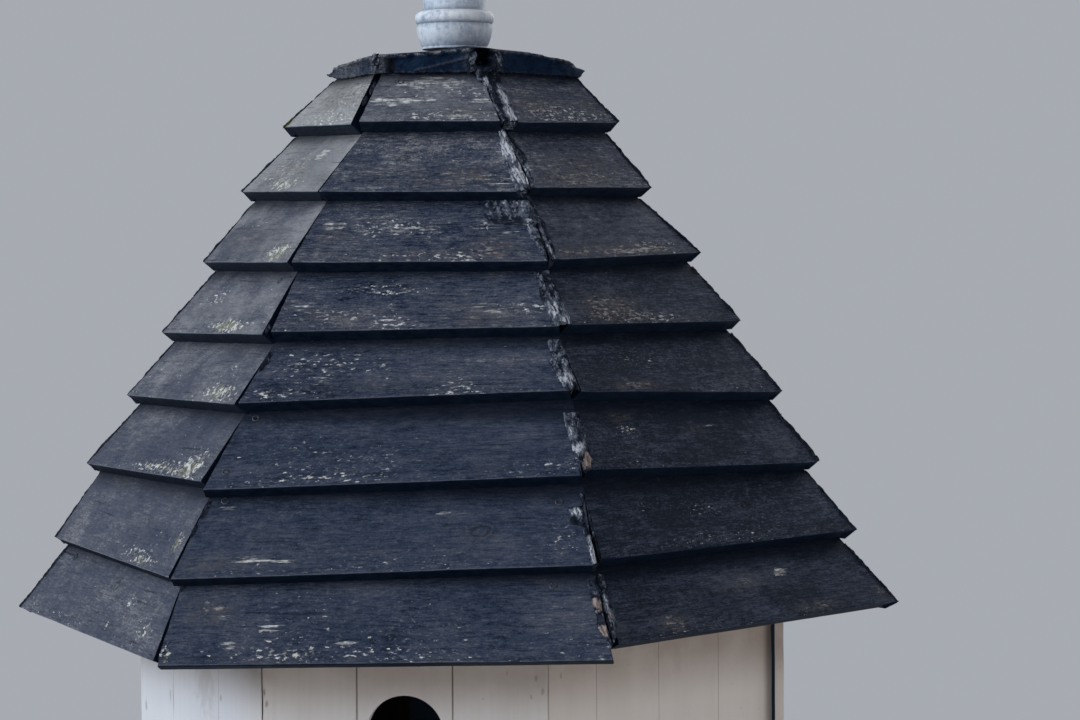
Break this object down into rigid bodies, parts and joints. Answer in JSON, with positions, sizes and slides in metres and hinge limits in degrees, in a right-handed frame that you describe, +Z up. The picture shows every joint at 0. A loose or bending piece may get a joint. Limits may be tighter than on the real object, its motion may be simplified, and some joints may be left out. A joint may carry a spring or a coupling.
{
  "type": "timber dovecote",
  "caption": "Hexagonal timber dovecote on a post, white boarded body with arched pop holes under a steep roof of lapped black planks, low felted cap and ball finial.",
  "frame": {"origin": "centre of the post's flat foot at ground level", "axes": "+Z up, -Y out of the front wall with the upper pop hole, +X to the right seen from the front"},
  "size_m": [0.766, 0.6522, 1.9337],
  "materials": {
    "white_paint": "satin paint, slightly weathered",
    "bare_timber": "sawn softwood",
    "black_stain": "worn blue-black stain",
    "mastic": "torn grey filler",
    "roof_felt": "wrinkled black felt",
    "grey_paint": "mottled pale blue-grey paint"
  },
  "bodies": {
    "root": {"back_left_wall": "white_paint", "back_right_wall": "white_paint", "back_wall": "white_paint", "cap_board": "bare_timber", "cap_felt": "roof_felt", "corner_posts": "bare_timber", "finial_ball": "grey_paint", "finial_cup": "grey_paint", "floor_board": "white_paint", "front_left_wall": "white_paint", "front_right_wall": "white_paint", "front_wall": "white_paint", "head_plates": "bare_timber", "hip_filler_back_left": "mastic", "hip_filler_back_right": "mastic", "hip_filler_front_right": "mastic", "hip_filler_left": "mastic", "hip_filler_right": "mastic", "hip_rafters": "bare_timber", "king_block": "bare_timber", "lower_ledges": "white_paint", "post": "white_paint", "post_brackets": "white_paint", "roof_course_1": "black_stain", "roof_course_2": "black_stain", "roof_course_3": "black_stain", "roof_course_4": "black_stain", "roof_course_5": "black_stain", "roof_course_6": "black_stain", "roof_course_7": "black_stain", "roof_course_8": "black_stain", "tilting_fillets": "bare_timber", "upper_ledges": "white_paint"}
  },
  "joints": []
}
